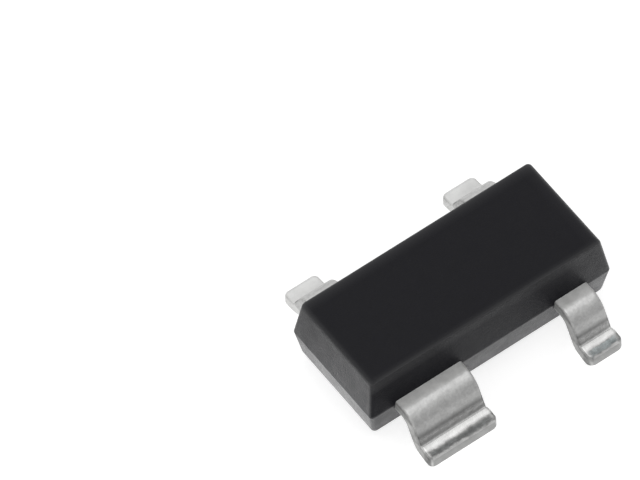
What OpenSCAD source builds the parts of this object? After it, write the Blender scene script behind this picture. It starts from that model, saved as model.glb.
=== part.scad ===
// Small driver chip in a four-lead surface-mount package.
// A black body is moulded round a stamped leadframe. Its wide lead carries the paddle on which
// the silicon die is glued, and four fine wires join the die to the leads.
// Millimetres. The body runs along X, the board that the feet stand on is z = 0, and the wide
// lead is at the left of the front, which faces -Y.

/* [Body] */
// Length of the body at its parting line
body_l = 2.9; // [2.8:0.02:3]
// Width of the body at its parting line
body_w = 1.3; // [1.24:0.01:1.36]
// Height of the body from its underside to its top
body_h = 0.88; // [0.86:0.01:0.94]
// Gap between the body's underside and the board
standoff = 0.055; // [0.02:0.005:0.09]
// Height of the parting line above the leadframe's underside
parting_rise = 0.085; // [0.04:0.005:0.11]
// Draft of the walls above the parting line, in degrees
upper_draft = 8; // [5:0.5:11]
// Draft of the walls below the parting line, in degrees
lower_draft = 9; // [5:0.5:12]
// Rounding of the top and bottom edges at the two ends
end_edge_r = 0.08; // [0.03:0.01:0.1]
// Rounding of the top and bottom edges along the two sides
side_edge_r = 0.05; // [0.03:0.01:0.07]
// Rounding of the four upright corners
corner_r = 0.03; // [0.02:0.005:0.04]
// Rounding of the edge at the parting line
parting_r = 0.02; // [0.01:0.005:0.03]

/* [Leads] */
// Thickness of the leadframe
lead_t = 0.13; // [0.1:0.005:0.15]
// Width of each of the three narrow leads
lead_w = 0.4; // [0.36:0.01:0.48]
// Width of the wide lead
wide_lead_w = 0.8; // [0.74:0.01:0.88]
// Distance between the middles of the two back leads
back_pitch = 1.92; // [1.84:0.01:1.96]
// Distance between the middles of the two front leads
front_pitch = 1.72; // [1.66:0.01:1.76]
// Distance across the toes of leads that face each other
lead_span = 2.45; // [2.38:0.01:2.5]
// Height of the leads' underside above the board where they leave the body
lead_z = 0.35; // [0.32:0.005:0.38]
// Flat length of a lead from the body's wall to its upper bend
shoulder_l = 0.1; // [0.06:0.01:0.19]
// Inner radius of the upper bend
shoulder_bend_r = 0.11; // [0.03:0.005:0.13]
// Inner radius of the bend above the foot
foot_bend_r = 0.07; // [0.05:0.005:0.085]
// Flat length of a foot on the board
foot_l = 0.08; // [0.06:0.01:0.12]
// Rounding of the toes' corners, seen from above
toe_r = 0.035; // [0.01:0.005:0.05]

/* [Leadframe inside the body] */
// Length of the paddle that carries the die
paddle_l = 1; // [0.94:0.02:1.04]
// Width of the paddle
paddle_w = 0.8; // [0.76:0.01:0.84]
// Place of the paddle's middle along the body
paddle_x = -0.06; // [-0.09:0.01:-0.03]
// Slot between neighbouring pieces of the leadframe
frame_slot = 0.13; // [0.1:0.01:0.16]
// Thickness of the body past the leadframe's ends
end_cover = 0.2; // [0.16:0.01:0.24]
// Thickness of the body's side walls in front of the leads' anchor heads
side_cover = 0.17; // [0.12:0.01:0.2]
// Rounding of the leadframe's stamped corners
frame_r = 0.04; // [0.02:0.005:0.05]
// Diameter of the hole that locks the wide lead into the body
lock_hole_d = 0.14; // [0.1:0.01:0.18]

/* [Die] */
// Length of the die along the body
die_l = 0.72; // [0.66:0.01:0.78]
// Width of the die
die_w = 0.64; // [0.58:0.01:0.68]
// Thickness of the die
die_t = 0.18; // [0.14:0.01:0.2]
// Thickness of the glue under the die
glue_t = 0.02; // [0.01:0.005:0.03]
// Height that the glue climbs up the die's sides
glue_climb = 0.04; // [0.02:0.005:0.08]
// Reach of the glue past the die's sides
glue_reach = 0.04; // [0.02:0.005:0.055]

/* [Bond wires] */
// Diameter of a bond wire
wire_d = 0.03; // [0.024:0.002:0.036]
// Diameter of the ball on the die
ball_d = 0.07; // [0.06:0.005:0.09]
// Height of the ball on the die
ball_h = 0.02; // [0.015:0.001:0.028]
// Distance of a ball's middle from the die's edges
bond_inset = 0.08; // [0.06:0.005:0.1]
// Straight height of a wire above its ball
neck_h = 0.05; // [0.03:0.005:0.065]
// Radius of the bend at the top of a wire's loop
loop_r = 0.06; // [0.04:0.005:0.07]
// Radius of the bend where a wire comes down on its lead
landing_r = 0.1; // [0.05:0.01:0.14]
// Distance of a wire's landing from the edge of its anchor head
stitch_inset = 0.22; // [0.18:0.01:0.26]
// Distance of a wire's landing from the body's middle, across the body
stitch_y = 0.27; // [0.22:0.01:0.32]
// Length of the stitch pressed on the lead
stitch_l = 0.06; // [0.04:0.01:0.08]
// Height of the pressed stitch
stitch_h = 0.02; // [0.014:0.001:0.024]

/* [Hidden] */
$fn = 64;

LEFT = -1;
RIGHT = 1;
FRONT = -1;
BACK = 1;

// Heights above the board
frame_top = lead_z + lead_t;
parting_z = lead_z + parting_rise;
body_top = standoff + body_h;
die_z = frame_top + glue_t;
die_top = die_z + die_t;

// How far the walls lean in between the parting line and the top or the underside
top_inset = (body_top - parting_z) * tan(upper_draft);
bottom_inset = (parting_z - standoff) * tan(lower_draft);

// Middles of the leads along the body
back_lead_x = back_pitch / 2;
front_lead_x = back_lead_x;
wide_lead_x = front_lead_x - front_pitch;

// Ends of the leadframe inside the body
frame_end = body_l / 2 - end_cover;
head_y = body_w / 2 - side_cover;
left_head_x = paddle_x - paddle_l / 2 - frame_slot;
right_head_x = paddle_x + paddle_l / 2 + frame_slot;

// Longer than anything that is cut with it
reach = body_l + lead_span;

// Share of their room that a lead's two bends may fill, so that its leg always keeps a slope
bend_share = 0.9;

// How much deeper than its radius a corner's rounding cuts, so that it meets the walls in clear
// edges where it would otherwise only touch them
corner_bite = 0.0005;

// Plan and profile shapes

// A convex outline with a round at each corner; points run anticlockwise
module rounded_outline(points, radii) {
    n = len(points);
    function to(i, j) = (points[j] - points[i]) / norm(points[j] - points[i]);
    function half_angle(i) = acos(to(i, (i + n - 1) % n) * to(i, (i + 1) % n)) / 2;
    function middle(i) = to(i, (i + n - 1) % n) + to(i, (i + 1) % n);
    function centre(i) = points[i] + middle(i) / norm(middle(i)) * radii[i] / sin(half_angle(i));
    polygon([
        for (i = [0:n - 1])
            for (j = [i + n - 1, i + 1])
                points[i] + to(i, j % n) * radii[i] / tan(half_angle(i))
    ]);
    for (i = [0:n - 1])
        translate(centre(i)) circle(r = radii[i]);
}

// A rectangle between two corners, with equally rounded corners
module rounded_rectangle(low, high, r) {
    rounded_outline([low, [high.x, low.y], high, [low.x, high.y]], [r, r, r, r]);
}

// Cross-section of the body through its parting line, drafted both ways
module body_section(half_width, edge_r) {
    top = half_width - top_inset;
    bottom = half_width - bottom_inset;
    rounded_outline(
        [
            [-bottom, standoff], [bottom, standoff], [half_width, parting_z],
            [top, body_top], [-top, body_top], [-half_width, parting_z]
        ],
        [edge_r, edge_r, parting_r, edge_r, edge_r, parting_r]
    );
}

// Leads

// Slope of the straight line that runs down between two bends, touching the top of the first and
// the underside of the second
function slope_between(upper, lower, radii) =
    atan2(upper.y - lower.y, lower.x - upper.x) + asin(radii / norm(lower - upper));

// What lies under a line that runs level, bends down round one point, falls at a slope, bends
// level again round a second point and runs on
module under_line(upper, upper_r, lower, lower_r, slope) {
    normal = [sin(slope), cos(slope)];
    difference() {
        union() {
            polygon([
                [-reach, -reach], [-reach, upper.y + upper_r], [upper.x, upper.y + upper_r],
                upper + upper_r * normal, lower - lower_r * normal,
                [lower.x, lower.y - lower_r], [reach, lower.y - lower_r], [reach, -reach]
            ]);
            translate(upper) circle(r = upper_r);
        }
        translate(lower) circle(r = lower_r);
    }
}

// The formed end of a lead outside the body, along +X from the wall at x = 0
module formed_end(width) {
    toe = (lead_span - body_w) / 2;
    // The leg takes up the lead's thickness, and the two bends share the rest of the room
    room = toe - shoulder_l - foot_l - lead_t;
    fit = min(1, bend_share * room / (shoulder_bend_r + foot_bend_r));
    upper_r = fit * shoulder_bend_r;
    lower_r = fit * foot_bend_r;
    upper = [shoulder_l, lead_z - upper_r];
    lower = [toe - foot_l, lead_t + lower_r];
    slope = slope_between(upper, lower, upper_r + lead_t + lower_r);
    intersection() {
        rotate([90, 0, 0]) linear_extrude(2 * width, center = true) difference() {
            under_line(upper, upper_r + lead_t, lower, lower_r, slope);
            under_line(upper, upper_r, lower, lower_r + lead_t, slope);
        }
        translate([0, 0, -lead_t]) linear_extrude(frame_top + 2 * lead_t) intersection() {
            rounded_rectangle([-toe, -width / 2], [toe, width / 2], toe_r);
            translate([0, -width]) square([2 * toe, 2 * width]);
        }
    }
}

// One lead: its formed end, its flat neck through the wall, and the flat shapes that the
// children add inside the body
module lead(x, side, width) {
    // The neck runs from behind the rounds of the anchor head to the outside of the wall
    neck_end = head_y - frame_r;
    color("silver") {
        translate([x, side * body_w / 2, 0]) rotate(side * 90) formed_end(width);
        translate([0, 0, lead_z]) linear_extrude(lead_t) {
            translate([x - width / 2, side == BACK ? neck_end : -body_w / 2])
                square([width, body_w / 2 - neck_end]);
            children();
        }
    }
}

// The wide end of a lead inside the body, which anchors it and takes a bond wire
module anchor_head(low_x, high_x, side) {
    low_y = side == FRONT ? -head_y : frame_slot / 2;
    high_y = side == FRONT ? -frame_slot / 2 : head_y;
    rounded_rectangle([low_x, low_y], [high_x, high_y], frame_r);
}

module ground_lead() {
    lead(wide_lead_x, FRONT, wide_lead_w) {
        difference() {
            union() {
                anchor_head(-frame_end, wide_lead_x + wide_lead_w / 2, FRONT);
                rounded_rectangle([paddle_x - paddle_l / 2, -paddle_w / 2],
                    [paddle_x + paddle_l / 2, paddle_w / 2], frame_r);
            }
            translate([wide_lead_x, lock_hole_d / 2 - head_y]) circle(d = lock_hole_d);
        }
    }
}

module supply_lead() {
    lead(front_lead_x, FRONT, lead_w) anchor_head(right_head_x, frame_end, FRONT);
}

module gate_lead() {
    lead(back_lead_x, BACK, lead_w) anchor_head(right_head_x, frame_end, BACK);
}

module control_lead() {
    lead(-back_lead_x, BACK, lead_w) anchor_head(-frame_end, left_head_x, BACK);
}

// Die

module die() {
    color("slategray")
        translate([paddle_x, 0, die_z + die_t / 2])
            cube([die_l, die_w, die_t], center = true);
}

// Glue under the die, with a fillet that climbs its sides
module die_attach() {
    lip = glue_reach / 4;
    height = glue_t + glue_climb;
    module fillet_section(width) {
        base = width / 2 + glue_reach;
        crest = width / 2 + lip;
        polygon([[-base, 0], [base, 0], [crest, height], [-crest, height]]);
    }
    color("dimgray") difference() {
        translate([paddle_x, 0, frame_top]) intersection() {
            rotate([90, 0, 0]) linear_extrude(reach, center = true) fillet_section(die_l);
            rotate([90, 0, 90]) linear_extrude(reach, center = true) fillet_section(die_w);
        }
        die();
    }
}

// Bond wires

// Each stretch of a wire starts at the origin along +X, and its children go on from its end

module wire_straight(length) {
    rotate([0, 90, 0]) cylinder(d = wire_d, h = length);
    translate([length, 0, 0]) children();
}

module wire_bend_down(r, angle) {
    translate([0, 0, -r]) rotate([0, -90, -90])
        rotate_extrude(angle = angle) translate([r, 0]) circle(d = wire_d);
    translate([0, 0, -r]) rotate([0, angle, 0]) translate([0, 0, r]) children();
}

module wire_bend_up(r, angle) {
    mirror([0, 0, 1]) wire_bend_down(r, angle) mirror([0, 0, 1]) children();
}

// A wire from its ball near a corner of the die, up and over and down to the head beside it
module bond_wire(end, side) {
    start = [paddle_x + end * (die_l / 2 - bond_inset), side * (die_w / 2 - bond_inset)];
    head_edge = end == LEFT ? left_head_x : right_head_x;
    across = [head_edge + end * stitch_inset, side * stitch_y] - start;
    ball_middle = die_top + ball_h / 2;
    neck_top = die_top + ball_h + neck_h;
    loop = [loop_r, neck_top];
    landing = [norm(across), frame_top + stitch_h - wire_d / 2 + landing_r];
    radii = loop_r + landing_r;
    fall = slope_between(loop, landing, radii);
    fall_l = sqrt(pow(norm(landing - loop), 2) - pow(radii, 2));
    color("gold") translate(start) rotate(atan2(across.y, across.x)) {
        translate([0, 0, ball_middle]) intersection() {
            sphere(d = ball_d);
            cube([ball_d, ball_d, ball_h], center = true);
        }
        difference() {
            translate([0, 0, ball_middle]) rotate([0, -90, 0])
                wire_straight(neck_top - ball_middle)
                wire_bend_down(loop_r, 90)
                wire_bend_down(loop_r, fall)
                wire_straight(fall_l)
                wire_bend_up(landing_r, fall)
                wire_straight(stitch_l);
            // The stitch is pressed flat on the lead
            translate([0, -wire_d, 0]) cube([reach, 2 * wire_d, frame_top]);
        }
    }
}

module ground_wire() {
    bond_wire(LEFT, FRONT);
}

module supply_wire() {
    bond_wire(RIGHT, FRONT);
}

module gate_wire() {
    bond_wire(RIGHT, BACK);
}

module control_wire() {
    bond_wire(LEFT, BACK);
}

// Body

// What is cut away to round one upright corner, on the side of the parting line where the walls
// lean in by the inset over the height. The edge starts at the origin and leans towards +X +Y.
module corner_waste(height, inset) {
    tilt = atan(inset * sqrt(2) / height);
    // Leaning walls meet at a little more than a right angle
    half = (180 - acos(pow(sin(atan(inset / height)), 2))) / 2;
    touch = corner_r / tan(half) * [cos(half), sin(half)];
    out = touch + corner_r * [-sin(half), cos(half)];
    rotate([0, 0, 45]) rotate([0, tilt, 0])
        translate([0, 0, -corner_r]) linear_extrude(height / cos(tilt) + 2 * corner_r) difference() {
            polygon([
                touch, out, [-corner_r, corner_r],
                [-corner_r, -corner_r], [out.x, -out.y], [touch.x, -touch.y]
            ]);
            translate([corner_r / sin(half), 0]) circle(r = corner_r + corner_bite);
        }
}

// The moulded block before the leadframe and the die are sunk in it
module moulded_block() {
    difference() {
        intersection() {
            rotate([90, 0, 0]) linear_extrude(reach, center = true)
                body_section(body_l / 2, end_edge_r);
            rotate([90, 0, 90]) linear_extrude(reach, center = true)
                body_section(body_w / 2, side_edge_r);
        }
        for (end = [LEFT, RIGHT], side = [FRONT, BACK])
            translate([end * body_l / 2, side * body_w / 2, parting_z])
                mirror([end == RIGHT ? 1 : 0, 0, 0]) mirror([0, side == BACK ? 1 : 0, 0]) {
                    corner_waste(body_top - parting_z, top_inset);
                    mirror([0, 0, 1]) corner_waste(parting_z - standoff, bottom_inset);
                }
    }
}

module mould_body() {
    color([0.13, 0.13, 0.14]) difference() {
        moulded_block();
        ground_lead();
        supply_lead();
        gate_lead();
        control_lead();
        die_attach();
        die();
        ground_wire();
        supply_wire();
        gate_wire();
        control_wire();
    }
}

mould_body();
ground_lead();
supply_lead();
gate_lead();
control_lead();
die_attach();
die();
ground_wire();
supply_wire();
gate_wire();
control_wire();
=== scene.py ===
"""Looks of a small driver chip in a four-lead surface-mount package.

Lengths are millimetres, as in the CAD source, and meshes are made in metres. In a lead's plan, the
second value of a point is its distance outwards from the body's middle, along the strip.
"""

import math

import bmesh
import bpy
from mathutils import Matrix, Vector
from mathutils.geometry import delaunay_2d_cdt

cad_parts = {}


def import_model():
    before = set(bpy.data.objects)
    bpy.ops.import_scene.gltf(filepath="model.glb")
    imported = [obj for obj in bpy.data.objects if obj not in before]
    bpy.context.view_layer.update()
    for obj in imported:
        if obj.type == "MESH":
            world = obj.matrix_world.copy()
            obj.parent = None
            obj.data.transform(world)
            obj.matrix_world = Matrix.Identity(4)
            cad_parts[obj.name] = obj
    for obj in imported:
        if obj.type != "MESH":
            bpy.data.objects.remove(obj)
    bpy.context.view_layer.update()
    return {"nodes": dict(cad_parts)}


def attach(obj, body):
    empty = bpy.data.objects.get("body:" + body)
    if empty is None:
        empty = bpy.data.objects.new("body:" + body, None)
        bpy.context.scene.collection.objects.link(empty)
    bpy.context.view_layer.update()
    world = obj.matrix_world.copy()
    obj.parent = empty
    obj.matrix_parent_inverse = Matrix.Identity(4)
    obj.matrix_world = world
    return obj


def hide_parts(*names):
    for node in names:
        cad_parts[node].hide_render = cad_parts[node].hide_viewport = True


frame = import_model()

MM = 0.001

# Body
HALF_L = 1.45
HALF_W = 0.65
STANDOFF = 0.055
PARTING_Z = 0.435
BODY_TOP = 0.935
UPPER_DRAFT = math.radians(8)
LOWER_DRAFT = math.radians(9)
TOP_INSET = (BODY_TOP - PARTING_Z) * math.tan(UPPER_DRAFT)
BOTTOM_INSET = (PARTING_Z - STANDOFF) * math.tan(LOWER_DRAFT)
END_EDGE_R = 0.08
SIDE_EDGE_R = 0.05
PARTING_R = 0.02
CORNER_R = 0.04

# Leads
LEAD_T = 0.13
LEAD_W = 0.4
WIDE_LEAD_W = 0.8
LEAD_Z = 0.35
SHOULDER_L = 0.086
SHOULDER_BEND_R = 0.11
LEG_SLOPE = math.radians(62.5)
LEAD_SPAN = 2.45
TOE = LEAD_SPAN / 2 - HALF_W
NARROW_X = 0.96
WIDE_X = -0.76
FRONT = -1
BACK = 1

# Most of the turn above the foot is a sharp crease, which the forming tool leaves, and the rest a
# wide bend. The tool turns the toes up a little too, the front ones more.
CREASE_R = 0.006
CREASE_TURN = math.radians(40)
WIDE_TURN_R = 0.3
FRONT_TOE_LIFT = math.radians(3)
BACK_TOE_LIFT = math.radians(1)

# Corners of a toe as cut, and the rounder ones of the front toes, apart from the wide one's left
TOE_R = 0.06
WORN_TOE_R = 0.075

# How much wider a pressed front foot is, how far from its end it starts to widen, and over what
# length
FLARE = 0.02
FLARE_FROM = 0.24
FLARE_OVER = 0.1

# Leadframe inside the body
HEAD_OUT = 0.48
HEAD_IN = 0.065
LEFT_HEAD = (-1.25, -0.69)
RIGHT_HEAD = (0.57, 1.25)
PADDLE = (-0.56, 0.44)
PADDLE_HALF_W = 0.4
FRAME_R = 0.04
LOCK_HOLE_R = 0.07

# Rounding that stamping leaves at the top edge of a lead, inside the body, outside it and at the
# toe, and the sharper edge under it. It starts to grow a little inside the wall.
ROLL_INSIDE = 0.018
ROLL_TOP = 0.032
ROLL_TOE = 0.034
ROLL_UNDER = 0.008
ROLL_GROWTH = 0.03

# Distance from a round to the points beside it that keep the flat next to it flat
SUPPORT = 0.01

# Steps in the rounds
EDGE_STEPS = 9
CORNER_STEPS = 8
PLAN_STEPS = 6
HOLE_STEPS = 24
SHOULDER_BEND_STEPS = 18
FOOT_BEND_STEPS = 6
TOE_STEPS = 9
ROLL_STEPS = 7
UNDER_STEPS = 3

# Rings of the body's mesh lie at least this far apart
RING_GAP = 4e-4
TINY = 1e-6


# Plane geometry

def unit(a, b):
    """Direction from one point to another."""
    d = (b[0] - a[0], b[1] - a[1])
    n = math.hypot(*d)
    return d[0] / n, d[1] / n


def corner_arc(before, corner, after, radius):
    """Centre of the round at a corner, and its two tangent points."""
    a = unit(corner, before)
    b = unit(corner, after)
    half = math.acos(a[0] * b[0] + a[1] * b[1]) / 2
    reach = radius / math.tan(half)
    m = (a[0] + b[0], a[1] + b[1])
    n = math.hypot(*m)
    centre = tuple(corner[i] + m[i] / n * radius / math.sin(half) for i in (0, 1))
    first = tuple(corner[i] + a[i] * reach for i in (0, 1))
    last = tuple(corner[i] + b[i] * reach for i in (0, 1))
    return centre, first, last


def arc_points(centre, first, last, steps):
    """Points on the shorter arc between two points of a circle."""
    start = math.atan2(first[1] - centre[1], first[0] - centre[0])
    turn = math.atan2(last[1] - centre[1], last[0] - centre[0]) - start
    turn = (turn + math.pi) % (2 * math.pi) - math.pi
    radius = math.hypot(first[0] - centre[0], first[1] - centre[1])
    return [
        (
            centre[0] + radius * math.cos(start + turn * k / steps),
            centre[1] + radius * math.sin(start + turn * k / steps),
        )
        for k in range(steps + 1)
    ]


def rounded_loop(corners):
    """A closed outline from (x, y, radius) corners."""
    points = []
    for i, (x, y, r) in enumerate(corners):
        if r == 0:
            points.append((x, y))
            continue
        before = corners[i - 1][:2]
        after = corners[(i + 1) % len(corners)][:2]
        points += arc_points(*corner_arc(before, (x, y), after, r), PLAN_STEPS)
    return points


def hole_loop(x, y, r):
    """Outline of a round hole, which turns the other way."""
    turns = [math.tau * k / HOLE_STEPS for k in range(HOLE_STEPS)]
    return [(x + r * math.cos(turn), y - r * math.sin(turn)) for turn in turns]


def split_at(points, levels):
    """The outline with a point wherever an edge crosses one of the levels of its second value."""
    made = []
    for i, p in enumerate(points):
        q = points[(i + 1) % len(points)]
        made.append(p)
        low, high = sorted((p[1], q[1]))
        inside = [v for v in levels if low + TINY < v < high - TINY]
        for v in sorted(inside, reverse=q[1] < p[1]):
            made.append((p[0] + (q[0] - p[0]) * (v - p[1]) / (q[1] - p[1]), v))
    return made


def inset(points, distances):
    """The outline moved to its left, each point by its own distance."""
    made = []
    for i, (p, distance) in enumerate(zip(points, distances)):
        a = unit(points[i - 1], p)
        b = unit(p, points[(i + 1) % len(points)])
        n = (-a[1] - b[1], a[0] + b[0])
        share = distance / (1 + a[0] * b[0] + a[1] * b[1])
        made.append((p[0] + n[0] * share, p[1] + n[1] * share))
    return made


# Meshes

def new_piece(name, bm):
    """An object from a mesh in millimetres, riding on the part's one body."""
    bmesh.ops.recalc_face_normals(bm, faces=bm.faces)
    bmesh.ops.scale(bm, vec=(MM, MM, MM), verts=bm.verts)
    mesh = bpy.data.meshes.new(name)
    for face in bm.faces:
        face.smooth = True
    bm.to_mesh(mesh)
    bm.free()
    piece = bpy.data.objects.new(name, mesh)
    bpy.context.scene.collection.objects.link(piece)
    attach(piece, "root")
    return piece


def join_rings(bm, rings):
    """Quads between neighbouring rings with as many points each."""
    for lower, upper in zip(rings, rings[1:]):
        n = len(lower)
        for i in range(n):
            j = (i + 1) % n
            bm.faces.new((lower[i], lower[j], upper[j], upper[i]))


class Wall:
    """Half the width of the body at each height, on one pair of sides."""

    def __init__(self, half, edge_r):
        corners = [
            (0, STANDOFF), (half - BOTTOM_INSET, STANDOFF), (half, PARTING_Z),
            (half - TOP_INSET, BODY_TOP), (0, BODY_TOP),
        ]
        radii = (edge_r, PARTING_R, edge_r)
        self.corners = corners
        self.arcs = [
            (r, *corner_arc(before, corner, after, r))
            for before, corner, after, r in zip(corners, corners[1:], corners[2:], radii)
        ]

    def at(self, z):
        """Half the width at one height."""
        for r, centre, first, last in self.arcs:
            low, high = sorted((first[1], last[1]))
            if low <= z <= high:
                return centre[0] + math.sqrt(max(0, r * r - (z - centre[1]) ** 2))
        start = 1 if z < PARTING_Z else 2
        a, b = self.corners[start], self.corners[start + 1]
        return a[0] + (b[0] - a[0]) * (z - a[1]) / (b[1] - a[1])

    def heights(self):
        """Heights at which the surface needs a ring of points."""
        made = []
        for _, centre, first, last in self.arcs:
            on_round = [z for _, z in arc_points(centre, first, last, EDGE_STEPS)]
            beside = (min(on_round) - SUPPORT, max(on_round) + SUPPORT)
            made += on_round + [z for z in beside if STANDOFF < z < BODY_TOP]
        return made


def section(half_l, half_w):
    """Outline of the body at one height, with a point beside each end of its four rounds."""
    points = []
    for quarter, (side_x, side_y) in enumerate(((1, -1), (1, 1), (-1, 1), (-1, -1))):
        x, y = side_x * (half_l - CORNER_R), side_y * (half_w - CORNER_R)
        for k in range(-1, CORNER_STEPS + 2):
            on_round = min(max(k, 0), CORNER_STEPS)
            beside = SUPPORT * (k - on_round)
            turn = math.radians(90 * (quarter - 1 + on_round / CORNER_STEPS))
            points.append((
                x + CORNER_R * math.cos(turn) - beside * math.sin(turn),
                y + CORNER_R * math.sin(turn) + beside * math.cos(turn),
            ))
    return points


def body_mesh():
    """The drafted block, as rings from its underside to its top."""
    ends, sides = Wall(HALF_L, END_EDGE_R), Wall(HALF_W, SIDE_EDGE_R)
    heights = []
    for z in sorted(ends.heights() + sides.heights()):
        if not heights or z - heights[-1] > RING_GAP:
            heights.append(z)
    heights[0], heights[-1] = STANDOFF, BODY_TOP
    # The underside and the top each have another ring, a little way in
    places = [(STANDOFF, SUPPORT), *((z, 0) for z in heights), (BODY_TOP, SUPPORT)]
    bm = bmesh.new()
    rings = [
        [bm.verts.new((x, y, z)) for x, y in section(ends.at(z) - inwards, sides.at(z) - inwards)]
        for z, inwards in places
    ]
    join_rings(bm, rings)
    bm.faces.new(rings[0])
    bm.faces.new(rings[-1])
    return bm


class Strip:
    """The bent middle line of a lead, from the wall outwards, as straight and curved stretches."""

    def __init__(self, toe_lift):
        half = LEAD_T / 2
        rest = LEG_SLOPE - CREASE_TURN
        # Radii of the bend at the shoulder, the crease and the wide bend, at the middle line
        down, crease, wide = SHOULDER_BEND_R + half, CREASE_R + half, WIDE_TURN_R + half
        # The leg takes up the height that the bends leave, and the foot the reach
        fallen = down * (1 - math.cos(LEG_SLOPE)) + wide * (1 - math.cos(rest))
        fallen += crease * (math.cos(rest) - math.cos(LEG_SLOPE))
        leg = (LEAD_Z - fallen) / math.sin(LEG_SLOPE)
        reached = SHOULDER_L + (down + crease) * math.sin(LEG_SLOPE) + leg * math.cos(LEG_SLOPE)
        reached += (wide - crease) * math.sin(rest) + wide * math.sin(toe_lift)
        foot = (TOE - reached - half * math.sin(toe_lift)) / math.cos(toe_lift)
        # Each stretch has its length, how far it turns, downwards or upwards, and in how many steps
        self.stretches = []
        u, point, angle = 0, (0, LEAD_Z + half), 0
        for length, turn, steps in (
            (SHOULDER_L, 0, 0),
            (down * LEG_SLOPE, -LEG_SLOPE, SHOULDER_BEND_STEPS),
            (leg, 0, 0),
            (crease * CREASE_TURN, CREASE_TURN, FOOT_BEND_STEPS),
            (wide * (rest + toe_lift), rest + toe_lift, FOOT_BEND_STEPS),
            (foot, 0, 0),
        ):
            self.stretches.append((u, length, turn, steps, point, angle))
            point, angle = self.follow(length, turn, point, angle, length)
            u += length
        self.length = u
        # Distance of the toe from the body's middle, along the strip
        self.end = HALF_W + u

    @staticmethod
    def follow(length, turn, point, angle, s):
        """Point and direction at a distance along one stretch."""
        if turn == 0:
            return (point[0] + s * math.cos(angle), point[1] + s * math.sin(angle)), angle
        radius = length / turn
        now = angle + s / radius
        return (
            point[0] + radius * (math.sin(now) - math.sin(angle)),
            point[1] - radius * (math.cos(now) - math.cos(angle)),
        ), now

    def place(self, u, h):
        """Distance from the wall and height of a point h above the middle line."""
        for start, length, turn, _, point, angle in reversed(self.stretches):
            if u >= start:
                break
        (y, z), now = self.follow(length, turn, point, angle, u - start)
        return y - h * math.sin(now), z + h * math.cos(now)

    def levels(self):
        """Distances from the body's middle at which the surface needs an edge across it."""
        made = []
        for start, length, turn, steps, _, _ in self.stretches:
            if turn == 0:
                made += [start + SUPPORT, start + length - SUPPORT]
            else:
                made += [start + length * k / steps for k in range(steps + 1)]
        before_toe = self.length - WORN_TOE_R
        # Rounded, so that a distance at which two stretches meet comes only once
        kept = sorted({round(u, 7) for u in made if 0 < u < before_toe})
        return [HALF_W + u for u in kept] + toe_levels(self.end)[:-1]


def toe_levels(end):
    """Distances outwards at which the rounds at a toe's corners have their points."""
    turns = [math.radians(90 * k / TOE_STEPS) for k in range(TOE_STEPS + 1)]
    return [end - WORN_TOE_R * (1 - math.sin(turn)) for turn in turns]


def toe_corner(x, end, r, side):
    """Round at a toe's corner, from the flank to the front, as corners of its own."""
    made = []
    for v in toe_levels(end):
        if v > end - r:
            across = math.sqrt(max(0, r * r - (r - end + v) ** 2))
            made.append((x - side * (r - across), v, 0))
    return made


def toe(left, right, end, left_r, right_r):
    """Corners round the end of a lead, from its right-hand flank to its left-hand one."""
    return toe_corner(right, end, right_r, 1) + toe_corner(left, end, left_r, -1)[::-1]


def narrow_plan(x, head, end, toe_r):
    """Plan of a narrow lead with its anchor head."""
    left, right = x - LEAD_W / 2, x + LEAD_W / 2
    low, high = head
    return [
        (low, HEAD_IN, FRAME_R), (high, HEAD_IN, FRAME_R), (high, HEAD_OUT, FRAME_R),
        (right, HEAD_OUT, 0), *toe(left, right, end, toe_r, toe_r),
        (left, HEAD_OUT, 0), (low, HEAD_OUT, FRAME_R),
    ]


def wide_plan(end):
    """Plan of the wide lead with its anchor head and the paddle."""
    left, right = WIDE_X - WIDE_LEAD_W / 2, WIDE_X + WIDE_LEAD_W / 2
    low, high = PADDLE
    return [
        (LEFT_HEAD[0], HEAD_IN, FRAME_R), (low, HEAD_IN, 0),
        (low, -PADDLE_HALF_W, FRAME_R), (high, -PADDLE_HALF_W, FRAME_R),
        (high, PADDLE_HALF_W, FRAME_R), (right, PADDLE_HALF_W, 0),
        *toe(left, right, end, TOE_R, WORN_TOE_R),
        (left, HEAD_OUT, 0), (LEFT_HEAD[0], HEAD_OUT, FRAME_R),
    ]


def flared(outline, end):
    """The outline with the pressed foot spread to the right."""
    outside = [x for x, v in outline if v > HALF_W]
    left, right = min(outside), max(outside)
    made = []
    for x, v in outline:
        share = min(1, max(0, (v - end + FLARE_FROM) / FLARE_OVER))
        grown = FLARE * share ** 2 * (3 - 2 * share)
        made.append((x + grown * (x - left) / (right - left), v))
    return made


def roll_at(v, end):
    """Rounding of the top edge at a distance outwards."""
    if v < HALF_W:
        share = max(0, (v - HALF_W + ROLL_GROWTH) / ROLL_GROWTH)
        return ROLL_INSIDE + (ROLL_TOP - ROLL_INSIDE) * share
    share = max(0, (v - end + WORN_TOE_R) / WORN_TOE_R)
    return ROLL_TOP + (ROLL_TOE - ROLL_TOP) * share


def edge_rings():
    """Rings of points from a lead's upper face, round its edge, to its lower face.

    Each has how far in it lies and how high above the middle line. Both are pairs: a share of the
    upper roll, and millimetres that are added.
    """
    half = LEAD_T / 2
    rings = [((1, SUPPORT), (0, half))]
    for k in range(ROLL_STEPS + 1):
        turn = math.pi / 2 * k / ROLL_STEPS
        rings.append(((1 - math.sin(turn), 0), (math.cos(turn) - 1, half)))
    rings.append(((0, 0), (-1, half - SUPPORT)))
    rings.append(((0, 0), (0, ROLL_UNDER + SUPPORT - half)))
    for k in range(UNDER_STEPS + 1):
        turn = math.pi / 2 * k / UNDER_STEPS
        inwards, rise = ROLL_UNDER * (1 - math.cos(turn)), ROLL_UNDER * (1 - math.sin(turn))
        rings.append(((0, inwards), (0, rise - half)))
    rings.append(((0, ROLL_UNDER + SUPPORT), (0, -half)))
    return rings


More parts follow.
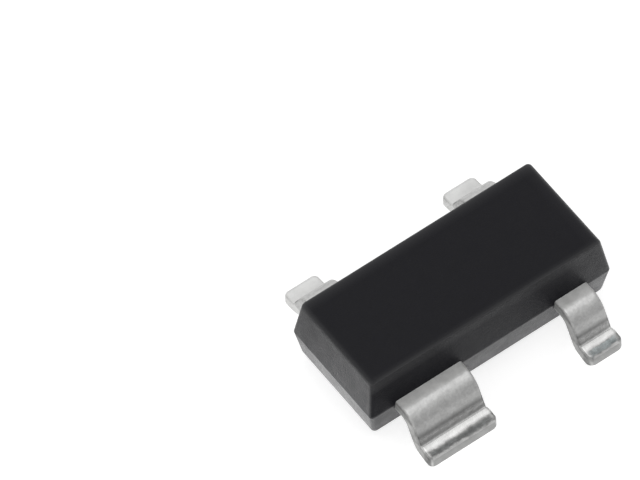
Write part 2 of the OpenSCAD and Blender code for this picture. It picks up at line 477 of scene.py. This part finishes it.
def fill(bm, outline, rims, levels, holes):
    """A lead's upper or lower face between its rims, with an edge across it at each level.

    The first rim belongs to the outline, point by point, and the others to the holes.
    """
    flat, verts, edges = [], [], []
    for points, ring in rims:
        start, count = len(flat), len(points)
        flat += [Vector(point) for point in points]
        verts += ring
        edges += [(start + i, start + (i + 1) % count) for i in range(count)]
    for level in levels:
        across = [i for i, (_, v) in enumerate(outline) if abs(v - level) < TINY]
        if len(across) == 2:
            edges.append(tuple(across))
    # Output type 1 keeps only what lies inside the rims
    out, _, faces, origin, _, _ = delaunay_2d_cdt(flat, edges, [], 1, TINY / 10)
    for face in faces:
        middle = sum((out[i] for i in face), Vector((0, 0))) / len(face)
        if all((middle - Vector((x, v))).length >= r for x, v, r in holes):
            bm.faces.new([verts[origin[i][0]] for i in face])


def lead_mesh(plan, holes, side, strip):
    """A lead cut from flat strip, with its edges rolled, bent along its middle line."""
    levels = strip.levels()
    outline = split_at(rounded_loop(plan), levels)
    if side == FRONT:
        outline = flared(outline, strip.end)
    bm = bmesh.new()
    upper, lower = [], []
    for loop in [outline] + [hole_loop(*hole) for hole in holes]:
        rolls = [roll_at(v, strip.end) for _, v in loop]
        flats, rings = [], []
        for (share, inwards), (drop, height) in edge_rings():
            flats.append(inset(loop, [share * roll + inwards for roll in rolls]))
            ring = []
            for (x, v), roll in zip(flats[-1], rolls):
                y, z = strip.place(v - HALF_W, height + drop * roll)
                ring.append(bm.verts.new((x, side * (HALF_W + y), z)))
            rings.append(ring)
        join_rings(bm, rings)
        upper.append((flats[0], rings[0]))
        lower.append((flats[-1], rings[-1]))
    fill(bm, outline, upper, levels, holes)
    fill(bm, outline, lower, levels, holes)
    return bm


# Nodes

# How far ramps reach along the body, both ways from its middle, and outwards from its middle
ALONG = 1.5
OUTWARDS = 2


class Nodes:
    """Short calls for the nodes of one tree. The values they take are sockets or numbers."""

    def __init__(self, tree):
        self.tree = tree

    def feed(self, socket, value):
        """Link a socket to another one, or set it to a number or a colour."""
        if isinstance(value, bpy.types.NodeSocket):
            self.tree.links.new(value, socket)
        else:
            socket.default_value = value

    def new(self, kind, inputs=None, **settings):
        """A node with its settings, and with values for its inputs by name or by number."""
        node = self.tree.nodes.new("ShaderNode" + kind)
        for name, value in settings.items():
            setattr(node, name, value)
        for key, value in (inputs or {}).items():
            self.feed(node.inputs[key], value)
        return node

    def split(self, vector):
        """The three parts of a vector."""
        return tuple(self.new("SeparateXYZ", {0: vector}).outputs)

    def math(self, operation, *values):
        """One step of arithmetic."""
        return self.new("Math", dict(enumerate(values)), operation=operation).outputs[0]

    def mix(self, kind, first, *others):
        """Colours or values blended in full, one after the other."""
        result = first
        for value in others:
            inputs = {"Factor": 1, "A": result, "B": value}
            result = self.new("Mix", inputs, data_type="RGBA", blend_type=kind).outputs["Result"]
        return result

    def add(self, *values):
        """The sum of colours or values."""
        return self.mix("ADD", *values)

    def multiply(self, *values):
        """The product of colours or values."""
        return self.mix("MULTIPLY", *values)

    def largest(self, *values):
        """The largest of the values, for each part of a colour."""
        return self.mix("LIGHTEN", *values)

    def ramp(self, value, stops):
        """Colours or values that follow another value from 0 to 1."""
        node = self.new("ValToRGB", {"Fac": value})
        elements = node.color_ramp.elements
        while len(elements) < len(stops):
            elements.new(0.5)
        for element, (position, colour) in zip(elements, stops):
            element.position = position
            element.color = (*colour, 1) if isinstance(colour, tuple) else (colour,) * 3 + (1,)
        return node.outputs["Color"]

    def ramp_between(self, low, high, value, stops):
        """The same, for a value from low to high, in the unit of the stops."""
        span = high - low
        share = self.math("MULTIPLY_ADD", value, 1 / span, -low / span)
        return self.ramp(share, [((at - low) / span, colour) for at, colour in stops])


class Finish(Nodes):
    """The nodes of a material, and where on the piece a point lies and which way it faces."""

    def __init__(self, name):
        self.material = bpy.data.materials.new(name)
        self.material.use_nodes = True
        super().__init__(self.material.node_tree)
        self.shader = self.tree.nodes["Principled BSDF"]
        place = self.new("TexCoord")
        # In millimetres, so that the scale of a texture counts features per millimetre
        inputs = {"Vector": place.outputs["Object"], "Scale": (1 / MM,) * 3}
        self.at = self.new("Mapping", inputs).outputs["Vector"]
        self.x, self.y, self.z = self.split(self.at)
        self.facing_x, self.facing_y, self.facing_z = self.split(place.outputs["Normal"])

    def noise(self, scale, detail=3, roughness=0.55):
        """Noise with so many features per millimetre."""
        inputs = {"Vector": self.at, "Scale": scale, "Detail": detail, "Roughness": roughness}
        return self.new("TexNoise", inputs).outputs["Fac"]

    def bump(self, height, millimetres, normal=None):
        """A normal that follows a height, on top of another normal if there is one."""
        inputs = {"Height": height, "Distance": millimetres * MM}
        if normal is not None:
            inputs["Normal"] = normal
        return self.new("Bump", inputs).outputs["Normal"]

    def by_height(self, stops):
        """A value that follows the height above the board, from (millimetres, value) stops."""
        return self.ramp_between(0, BODY_TOP, self.z, stops)

    def by_length(self, stops):
        """A value that follows the place along the body, from (millimetres, value) stops."""
        return self.ramp_between(-ALONG, ALONG, self.x, stops)

    def by_reach(self, distance, stops):
        """A value that follows a distance from the middle, from (millimetres, value) stops."""
        return self.ramp_between(0, OUTWARDS, distance, stops)

    def forwards(self, value):
        """A place or a direction along Y, counted towards the front."""
        return self.math("MULTIPLY", value, FRONT)

    def finished(self, inputs):
        """The material, with values for its shader's inputs."""
        for name, value in inputs.items():
            self.feed(self.shader.inputs[name], value)
        return self.material


# Materials

def gloss_with_painted_shade(f):
    """Even gloss, but less on the front wall round its leads, above the parting line: painted shade
    where the leads shade the wall.
    """
    # Painted shade: the front wall's gloss along its length, least round the leads
    painted_lead_shade = f.by_length([
        (-1.35, 0.4), (-1.2, 0.49), (-0.9, 0.53), (-0.675, 0.57), (-0.45, 0.62), (-0.3, 0.7),
        (0.0, 0.71), (0.45, 0.69), (0.6, 0.62), (0.9, 0.62), (1.05, 0.85), (1.2, 1.0)
    ])
    elsewhere = f.by_height([(0.445, 1.0), (0.47, 0.0), (0.72, 0.0), (0.78, 0.7), (0.84, 1.0)])
    other_sides = f.ramp(f.forwards(f.facing_y), [(0.5, 1.0), (0.85, 0.0)])
    return f.math("MULTIPLY", f.largest(painted_lead_shade, elsewhere, other_sides), 0.5)


def mould_compound():
    """Black filled epoxy with the fine matt texture of an eroded mould."""
    f = Finish("mould_compound")
    black = f.ramp(f.noise(38, 4), [(0.3, (0.0006, 0.0006, 0.004)), (0.7, (0.002, 0.002, 0.0055))])
    # Painted highlight: the rounds between the top and the walls are painted paler
    painted_edge_highlight = f.ramp(
        f.facing_z, [(0.16, 0.0), (0.4, 0.05), (0.75, 0.03), (0.93, 0.004), (1.0, 0.0)]
    )
    # Painted highlights as well on the top's margins, apart from the left-hand one, more softly
    front = f.ramp(f.forwards(f.y), [
        (0.52, 0.0), (0.535, 0.003), (0.55, 0.009), (0.568, 0.015), (0.585, 0.011), (0.6, 0.006),
        (0.612, 0.0)
    ])
    back = f.ramp(f.y, [(0.43, 0.0), (0.47, 0.006), (0.51, 0.016), (0.56, 0.04)])
    right = f.by_reach(f.x, [(1.22, 0.0), (1.3, 0.006), (1.33, 0.014), (1.36, 0.03)])
    broad = f.bump(f.noise(14), 0.0012)
    return f.finished({
        # The black, with the painted highlights on the rounds and the margins added
        "Base Color": f.add(black, painted_edge_highlight, front, back, right),
        "Roughness": f.ramp(f.noise(9), [(0.3, 0.38), (0.7, 0.46)]),
        "IOR": 1.35,
        # Less gloss round the leads is painted shade
        "Specular IOR Level": gloss_with_painted_shade(f),
        "Normal": f.bump(f.noise(60, 3, 0.6), 0.004, broad),
    })


def painted_leg_shade(f, at_side):
    """Painted shade: two dark lines across the leg, and a leg that darkens downwards from the
    shoulder, but not round its sides.
    """
    lines = f.by_height([
        (0.16, 1.0), (0.1665, 0.62), (0.172, 0.44), (0.178, 0.34), (0.188, 0.33), (0.217, 0.5),
        (0.245, 0.33), (0.258, 0.33), (0.3, 0.72), (0.35, 0.77), (0.42, 0.88), (0.455, 0.96),
        (0.479, 1.0)
    ])
    # They are fainter on the leads at the right
    fainter = f.by_height([
        (0.16, 1.0), (0.1665, 0.68), (0.172, 0.5), (0.178, 0.36), (0.188, 0.36), (0.2, 0.45),
        (0.226, 0.54), (0.243, 0.41), (0.252, 0.36), (0.26, 0.36), (0.273, 0.48), (0.3, 0.73)
    ])
    at_right = f.ramp(f.x, [(0.3, 0.0), (0.7, 1.0)])
    round_side = f.ramp(at_side, [(0.45, 0.0), (0.8, 0.85)])
    return f.largest(lines, f.multiply(fainter, at_right), round_side)


def painted_body_reflection(f, reach):
    """A painted reflection of the black body: a mottled dark band across each front foot, fainter
    and bluer on the narrow one.
    """
    band = f.by_reach(reach, [
        (1.122, 1.0), (1.135, 0.84), (1.1472, 0.63), (1.1606, 0.38),
        (1.1744, (0.23, 0.235, 0.236)), (1.188, (0.24, 0.247, 0.249)),
        (1.204, (0.34, 0.347, 0.349)), (1.2148, 0.39), (1.22, 0.47), (1.226, 0.62),
        (1.231, 0.82), (1.243, 1.0)
    ])
    # It stops short of the flanks
    least = f.by_length([
        (-1.134, 0.75), (-1.092, 0.0), (-0.444, 0.0), (-0.366, 0.62), (0.792, 0.75),
        (0.831, (0.46, 0.49, 0.5)), (1.095, (0.43, 0.47, 0.48)), (1.155, 0.65)
    ])
    mottling = f.ramp(f.noise(15), [(0.4, 0.7), (0.6, 1.0)])
    off_band = f.by_reach(reach, [(1.146, 1.0), (1.17, 0.0), (1.212, 0.0), (1.226, 1.0)])
    return f.multiply(f.largest(band, least), f.largest(mottling, off_band))


def cut_faces_and_painted_shade(f, at_side):
    """The darker tone of the faces that the cutter left at the flanks and the toes, partly their
    own and partly painted shade.
    """
    # The toe faces: darker as cut, and with painted shade
    toe_face_tone_and_shade = f.largest(
        f.ramp(f.math("ABSOLUTE", f.facing_y), [(0.72, 1.0), (0.87, 0.74), (0.97, 0.43)]),
        f.by_height([(0.135, 0.0), (0.16, 1.0)])
    )
    # The flanks of the back leads are plainer
    flank = f.largest(
        f.ramp(at_side, [(0.6, 1.0), (0.9, 0.5)]),
        # Painted shade on the flanks, which varies with height
        f.by_height([(0.1, 0.55), (0.16, 0.52), (0.24, 0.6), (0.36, 0.75), (0.42, 0.3)]),
        f.by_reach(f.y, [(0.6, 0.0), (0.72, 0.85)])
    )
    return f.multiply(flank, toe_face_tone_and_shade)


def plating_roughness(f, at_side, reach):
    """Smoothest on the foot, rougher up the leg, and matt at the edges and on the toes."""
    satin = f.ramp(f.noise(12, 4), [(0.3, 0.85), (0.7, 1.0)])
    matt = f.largest(
        f.by_height([
            (0.0, 0.2), (0.2, 0.2), (0.28, 0.42), (0.465, 0.42), (0.4775, 0.5), (0.4798, 1.0)
        ]),
        f.by_reach(reach, [(1.18, 0.0), (1.21, 0.6)]),
        f.ramp(at_side, [(0.1, 0.0), (0.35, 0.85)]),
        f.by_reach(f.y, [(0.72, 0.0), (0.88, 0.5)])
    )
    return f.multiply(satin, matt)


def tinned_leadframe():
    """Satin tin plating, smoother where the forming tool pressed the foot and the shoulder."""
    f = Finish("tinned_leadframe")
    at_side = f.math("ABSOLUTE", f.facing_x)
    # Distance towards the front, whose noise gives bands an uneven edge
    reach = f.math("MULTIPLY_ADD", f.noise(11), 0.05, f.forwards(f.y))
    plating = f.ramp(f.noise(7, 4), [(0.3, (0.89, 0.89, 0.88)), (0.7, (0.97, 0.97, 0.96))])
    # The leg is speckled more than what the tool pressed
    smooth = f.by_height([(0.15, 1.0), (0.19, 0.0), (0.46, 0.0), (0.479, 1.0)])
    speckle = f.largest(f.ramp(f.noise(34, 3, 0.65), [(0.36, 0.86), (0.64, 1.0)]), smooth)
    blotches = f.ramp(f.noise(10, 2), [(0.4, 0.93), (0.6, 1.0)])
    grain = f.multiply(f.noise(60, 3, 0.6), f.by_height([(0.15, 0.25), (0.19, 1.0)]))
    broad = f.bump(f.noise(9, 4), 0.004)
    return f.finished({
        # The plating's own tone, times painted shade on the leg, a painted reflection on the front
        # feet, and the cut faces' tone with painted shade
        "Base Color": f.multiply(
            plating, speckle, blotches, painted_leg_shade(f, at_side), painted_body_reflection(f, reach),
            cut_faces_and_painted_shade(f, at_side)
        ),
        "Metallic": 1,
        "Roughness": plating_roughness(f, at_side, reach),
        "Normal": f.bump(grain, 0.0008, broad),
    })


def die_glue():
    """Silver-filled epoxy."""
    f = Finish("die_glue")
    return f.finished({
        "Base Color": f.ramp(f.noise(60, 4), [(0.35, 0.33), (0.65, 0.52)]),
        "Metallic": 0.4,
        "Roughness": 0.55,
        "Normal": f.bump(f.noise(50), 0.002),
    })


def silicon():
    """Sawn silicon: polished above, with faint saw marks round its sides."""
    f = Finish("silicon")
    return f.finished({
        "Base Color": f.ramp(
            f.noise(16), [(0.35, (0.15, 0.16, 0.2)), (0.65, (0.2, 0.21, 0.25))]
        ),
        "Metallic": 0.6,
        "Roughness": 0.22,
        "Normal": f.bump(f.noise(90), 0.0004),
    })


def gold_wire():
    """Bright drawn gold."""
    f = Finish("gold_wire")
    return f.finished({
        "Base Color": f.ramp(
            f.noise(30, 2), [(0.3, (0.9, 0.63, 0.22)), (0.7, (0.97, 0.74, 0.33))]
        ),
        "Metallic": 1,
        "Roughness": 0.2,
    })


def set_material(piece, material):
    """Give a piece one material in place of any it has."""
    piece.data.materials.clear()
    piece.data.materials.append(material)


# Pieces

mould, tin, glue, chip, gold = (
    mould_compound(), tinned_leadframe(), die_glue(), silicon(), gold_wire()
)

body = new_piece("moulded_body", body_mesh())
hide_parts("mould_body")
set_material(body, mould)

front_strip, back_strip = Strip(FRONT_TOE_LIFT), Strip(BACK_TOE_LIFT)
lock_hole = (WIDE_X, HEAD_OUT - LOCK_HOLE_R, LOCK_HOLE_R)
leads = {
    "ground_lead": (wide_plan(front_strip.end), [lock_hole], FRONT, front_strip),
    "supply_lead": (
        narrow_plan(NARROW_X, RIGHT_HEAD, front_strip.end, WORN_TOE_R), [], FRONT, front_strip,
    ),
    "gate_lead": (
        narrow_plan(NARROW_X, RIGHT_HEAD, back_strip.end, TOE_R), [], BACK, back_strip,
    ),
    "control_lead": (
        narrow_plan(-NARROW_X, LEFT_HEAD, back_strip.end, TOE_R), [], BACK, back_strip,
    ),
}
for node, shape in leads.items():
    lead = new_piece("formed_" + node, lead_mesh(*shape))
    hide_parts(node)
    set_material(lead, tin)

for node, material in (
    ("die_attach", glue), ("die", chip), ("ground_wire", gold), ("supply_wire", gold),
    ("gate_wire", gold), ("control_wire", gold),
):
    set_material(frame["nodes"][node], material)


# Floor, world and light

FLOOR_HALF = 400

# How far from the part the floor still shows in its gloss
GLOSS_REACH = 10


def floor():
    """A pale floor that looks white to the camera and, near the part, glows in reflections only:
    painted reflections in the part's gloss.
    """
    bm = bmesh.new()
    bmesh.ops.create_grid(bm, x_segments=2, y_segments=2, size=FLOOR_HALF * MM)
    mesh = bpy.data.meshes.new("floor")
    bm.to_mesh(mesh)
    bm.free()
    plane = bpy.data.objects.new("floor", mesh)
    bpy.context.scene.collection.objects.link(plane)
    f = Finish("floor")
    f.tree.nodes.remove(f.shader)
    # Painted reflections: the floor's brightness in gloss, which falls off with the distance from
    # the part
    squeezed = f.new("Mapping", {"Vector": f.at, "Scale": (0.45, 1, 1)}).outputs["Vector"]
    away = f.new("VectorMath", {0: squeezed}, operation="LENGTH").outputs["Value"]
    near = f.ramp_between(0, GLOSS_REACH, away, [
        (0.6, 1.5), (0.75, 1.4), (1.0, 1.0), (1.5, 0.7), (3.0, 0.1), (GLOSS_REACH, 0.0)
    ])
    # Less of it behind the part, and more past its ends
    behind = f.by_reach(f.y, [(0.6, 1.0), (1.0, 0.8)])
    past = f.by_reach(f.math("ABSOLUTE", f.x), [
        (1.3, 1.0), (1.38, 1.6), (1.48, 1.5), (1.9, 1.28)
    ])
    path = f.new("LightPath").outputs
    painted_reflection_glow = f.math("MULTIPLY", path["Is Glossy Ray"], f.multiply(near, behind, past))
    # To the camera, it glows by what its own pale grey lacks to white
    seen = f.math("MULTIPLY_ADD", path["Is Camera Ray"], 0.75, painted_reflection_glow)
    diffuse = f.new("BsdfDiffuse", {"Color": (0.6, 0.6, 0.6, 1)})
    glow = f.new("Emission", {"Strength": seen})
    both = f.new("AddShader", {0: diffuse.outputs[0], 1: glow.outputs[0]})
    f.feed(f.tree.nodes["Material Output"].inputs["Surface"], both.outputs[0])
    set_material(plane, f.material)


def world():
    """White to the camera; for light and reflections, a room with a large soft light overhead."""
    made = bpy.data.worlds.new("studio")
    bpy.context.scene.world = made
    made.use_nodes = True
    made.node_tree.nodes.clear()
    sky = Nodes(made.node_tree)
    toward = sky.new("TexCoord").outputs["Generated"]
    # From 0 in front to 1 at the back
    depth = sky.math("MULTIPLY_ADD", sky.split(toward)[1], 0.5, 0.5)
    walls = sky.ramp(depth, [(0.0, 0.41), (0.4, 0.44), (0.7, 0.6), (1.0, 0.7)])
    overhead = Vector((0, 0.03, 1)).normalized()
    upward = sky.new("VectorMath", {0: toward, 1: overhead}, operation="DOT_PRODUCT")
    soft_light = sky.ramp(upward.outputs["Value"], [
        (0.6, 0.0), (0.75, 0.08), (0.87, 0.2), (0.95, 0.45), (0.98, 0.55)
    ])
    room = sky.new("Background", {"Color": sky.add(walls, soft_light)})
    white = sky.new("Background", {"Color": (1, 1, 1, 1)})
    to_camera = sky.new("LightPath").outputs["Is Camera Ray"]
    pick = sky.new("MixShader", {0: to_camera, 1: room.outputs[0], 2: white.outputs[0]})
    sky.new("OutputWorld", {"Surface": pick.outputs[0]})


def area_light(name, place, size, radiance):
    """A square soft light aimed at the part, given by how bright its face looks."""
    data = bpy.data.lights.new(name, "AREA")
    data.shape = "SQUARE"
    data.size = size * MM
    data.energy = radiance * math.pi * data.size ** 2
    light = bpy.data.objects.new(name, data)
    bpy.context.scene.collection.objects.link(light)
    light.location = Vector(place) * MM
    aim = Vector((0, 0, 0.4)) * MM - light.location
    light.rotation_mode = "QUATERNION"
    light.rotation_quaternion = aim.to_track_quat("-Z", "Y")


floor()
world()
area_light("overhead_softbox", (-4, -3, 24), 10, 0.4)


# Camera, fitted to the photograph's edges: its angles, its scale, how far its axis passes from the
# point it is aimed at, and how far away it stands

AZIMUTH = math.radians(-33.924)
ELEVATION = math.radians(56.339)
ROLL = math.radians(-2.615)
PIXELS_PER_MM = 102.825
AIM = (0, 0, 0.5)
TO_RIGHT = -1.282
UPWARDS = 0.544
DISTANCE = 100
IMAGE_WIDTH = 640
SENSOR_WIDTH = 36


def camera():
    """The camera, on a long lens."""
    back = Vector((
        math.sin(AZIMUTH) * math.cos(ELEVATION),
        -math.cos(AZIMUTH) * math.cos(ELEVATION),
        math.sin(ELEVATION),
    ))
    level = Vector((math.cos(AZIMUTH), math.sin(AZIMUTH), 0))
    upright = back.cross(level)
    right = math.cos(ROLL) * level + math.sin(ROLL) * upright
    up = math.cos(ROLL) * upright - math.sin(ROLL) * level
    data = bpy.data.cameras.new("camera")
    data.sensor_width = SENSOR_WIDTH
    data.lens = PIXELS_PER_MM * DISTANCE / IMAGE_WIDTH * SENSOR_WIDTH
    data.clip_start = 0.001
    data.clip_end = 10
    eye = bpy.data.objects.new("camera", data)
    bpy.context.scene.collection.objects.link(eye)
    middle = Vector(AIM) + TO_RIGHT * right + UPWARDS * up
    turn = Matrix((right, up, back)).transposed().to_4x4()
    eye.matrix_world = Matrix.Translation((middle + DISTANCE * back) * MM) @ turn
    bpy.context.scene.camera = eye


camera()
bpy.context.scene.view_settings.view_transform = "Standard"
